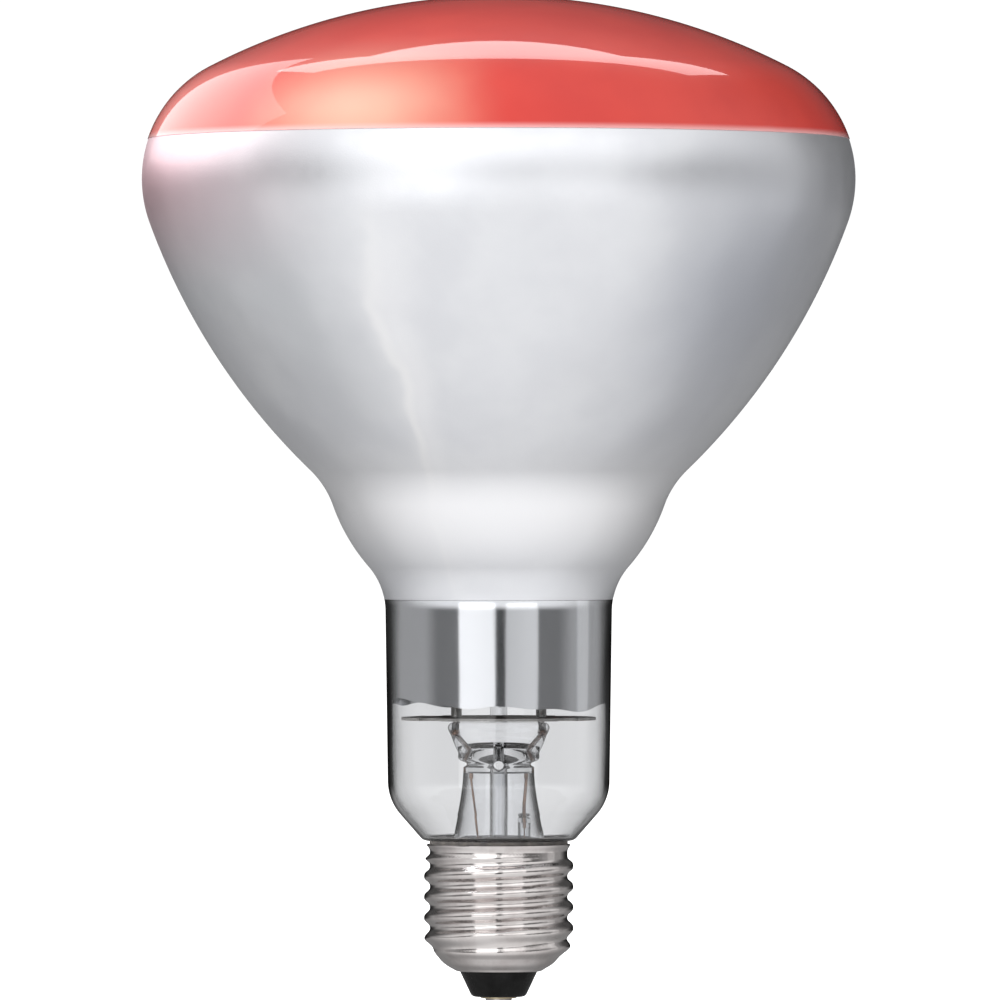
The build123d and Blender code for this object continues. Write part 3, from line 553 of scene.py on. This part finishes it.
def red_front_glass():
    """Red lacquered glass, with painted light in its colour: paler red on the left, a painted glow of the
    reflector, and a painted highlight along the lacquer's lower edge.
    """
    finish, shader = new_finish(
        "red_front_glass", Roughness=0.4, IOR=GLASS_IOR, Transmission_Weight=0.15, Specular_IOR_Level=0.2,
        Coat_Weight=1.0, Coat_Roughness=0.03, Coat_IOR=1.5)
    tree = finish.node_tree
    colour = clouded(tree, 45.0, (0.68, 0.040, 0.024), (0.61, 0.030, 0.020))
    tree.links.new(with_painted_light(tree, colour, RED_PAINTED_LIGHT), shader.inputs["Base Color"])
    add_waves(tree, shader, 0.5 * MM, scale=30.0, drawn=1.0, grain=(700.0, 0.01))
    return finish


def worn_metal(name, colour, stain, roughness, patches, grain, relief, Metallic=1.0, **values):
    """A worn finish. patches and grain are scales of noise, and relief is in metres."""
    finish, shader = new_finish(name, Metallic=Metallic, **values)
    tree = finish.node_tree
    patina = add_group(
        tree, PATINA, Colour=colour, Stain=stain, Patch_Scale=patches, Grain_Scale=grain,
        Roughness_Low=roughness[0], Roughness_High=roughness[1]).outputs
    feed_all(tree, shader, dict(Base_Color=patina["Colour"], Roughness=patina["Roughness"]))
    add_relief(tree, shader, patina["Height"], relief)
    return finish


FINISHES = {name: worn_metal(name, **look) for name, look in WORN.items()}
FINISHES["stem_glass"] = clear_glass("stem_glass", (0.95, 0.955, 0.965), 0.05 * MM)
SATIN = satin_mirror()
POLISHED = polished_mirror()
NECK_GLASS = clear_glass("neck_glass", (0.97, 0.975, 0.985), 0.35 * MM)
RED = red_front_glass()


# ---- pieces -------------------------------------------------------------------------------------------
def settle(piece, finish, slot, *stands_for):
    piece.data.materials.append(finish)
    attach(piece, "root")
    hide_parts(*stands_for)


def red_front():
    outside = stretch(bulb_outline(-RED_LACQUER), CROWN + RED_LACQUER, RED_EDGE)
    inside = stretch(bulb_outline(WALL), CROWN, RED_EDGE)
    settle(turned("red_front", outside, inside), RED, "red_film", "red_coating", "bulb_envelope")


def satin_bowl():
    outside = stretch(bulb_outline(0), RED_EDGE, FROST_EDGE)
    inside = stretch(bulb_outline(WALL + FILM), RED_EDGE, FROST_EDGE)
    settle(turned("satin_bowl", outside, inside), SATIN, "mirror_film", "mirror_coating", "bulb_envelope")


def clear_neck():
    outside = stretch(bulb_outline(0), FROST_EDGE, TAIL_END)
    inside = stretch(bulb_outline(WALL), FROST_EDGE, TAIL_END)
    settle(turned("clear_neck", outside, inside), NECK_GLASS, "clear_glass", "bulb_envelope")


def neck_mirror():
    outside = stretch(bulb_outline(WALL + FILM_GAP), FROST_EDGE, MIRROR_EDGE)
    inside = stretch(bulb_outline(WALL + FILM_GAP + FILM), FROST_EDGE, MIRROR_EDGE)
    settle(turned("neck_mirror", outside, inside, run_edge), POLISHED, "mirror_film", "mirror_coating")


def finish_cad_nodes():
    """Gives every part that is shown as modelled the finish of its material slot."""
    slots = {entry["node"]: entry["material_slot"] for entry in frame["record"]["subparts"]}
    for name, node in frame["nodes"].items():
        if slots[name] in FINISHES:
            for place in node.material_slots:
                place.material = FINISHES[slots[name]]


# ---- stage --------------------------------------------------------------------------------------------
def camera():
    data = bpy.data.cameras.new("camera")
    data.lens = data.sensor_width * VIEW_DISTANCE / VIEW_WIDTH
    item = placed("camera", data)
    item.location = (VIEW_SIDE, -VIEW_DISTANCE, VIEW_HEIGHT)
    item.rotation_euler = (math.radians(90), 0, 0)
    bpy.context.scene.camera = item


def softbox(name, azimuth, elevation, size, power):
    """A rectangular lamp facing the object. Azimuth 0 is the camera's side, positive to the right."""
    data = bpy.data.lights.new(name, "AREA")
    data.shape = "RECTANGLE"
    data.size, data.size_y = size
    data.energy = power
    item = placed(name, data)
    flat = cosine(elevation)
    outward = Vector((sine(azimuth) * flat, -cosine(azimuth) * flat, sine(elevation)))
    item.location = AIM + outward * LIGHT_DISTANCE
    item.rotation_euler = (-outward).to_track_quat("-Z", "Y").to_euler()
    item.visible_camera = False
    return item


def floor():
    """A pale floor, bright enough to merge with the white surroundings. Metal and glass don't show it."""
    mesh = bpy.data.meshes.new("floor")
    turns = [360 / FLOOR_SIDES * step for step in range(FLOOR_SIDES)]
    rim = [(FLOOR_RADIUS * sine(turn), FLOOR_RADIUS * cosine(turn), 0) for turn in turns]
    mesh.from_pydata(rim, [], [tuple(reversed(range(FLOOR_SIDES)))])
    finish, _ = new_finish(
        "pale_floor", Base_Color=(FLOOR_COLOUR, FLOOR_COLOUR, FLOOR_COLOUR), Roughness=1.0,
        Specular_IOR_Level=0.0, Emission_Color=(1.0, 1.0, 1.0), Emission_Strength=FLOOR_GLOW)
    clear_where(finish.node_tree, bounced(finish.node_tree, "Glossy", "Transmission"))
    mesh.materials.append(finish)
    item = placed("floor", mesh)


def surroundings():
    """A white backdrop, and for reflections a room that is bright on the camera's side and dark behind."""
    world = bpy.data.worlds.new("studio")
    world.use_nodes = True
    world.cycles.sampling_method = "NONE"
    bpy.context.scene.world = world
    tree = world.node_tree
    x, y, z = direction(tree, "Generated")
    side = worked(tree, "ABSOLUTE", x)
    level = mapped(tree, side, *LEVEL_BY_X)
    level = worked(tree, "MULTIPLY", level, mapped(tree, y, *LEVEL_TO_CAMERA))
    level = worked(tree, "MULTIPLY", level, mapped(tree, y, *LEVEL_TO_BACK))
    room = crossed(tree, mapped(tree, z, *BELOW_TO_LEVEL), mapped(tree, y, *BELOW_BY_Y), level)
    room = crossed(tree, mapped(tree, z, *LEVEL_TO_ABOVE), room, mapped(tree, y, *ABOVE_BY_Y))
    through = mapped(tree, side, *THROUGH_GLASS_BY_X)
    bright = crossed(tree, bounced(tree, "Transmission"), BACKDROP, through)
    bright = crossed(tree, bounced(tree, "Diffuse"), bright, FILL)
    bright = crossed(tree, bounced(tree, "Glossy"), bright, room)
    feed_all(tree, tree.nodes["Background"], dict(Color=(1, 1, 1), Strength=bright))


def studio():
    surroundings()
    lamps = {name: softbox(name, *values) for name, values in SOFTBOXES.items()}
    lamps["left_wash"].visible_glossy = False
    lit = bpy.data.collections.new("lit_by_left_side")
    for name in LIT_BY_LEFT_SIDE:
        lit.objects.link(bpy.data.objects[name])
    lamps["left_side"].light_linking.receiver_collection = lit
    bpy.context.scene.view_settings.view_transform = "Standard"


camera()
floor()
red_front()
satin_bowl()
clear_neck()
neck_mirror()
finish_cad_nodes()
studio()
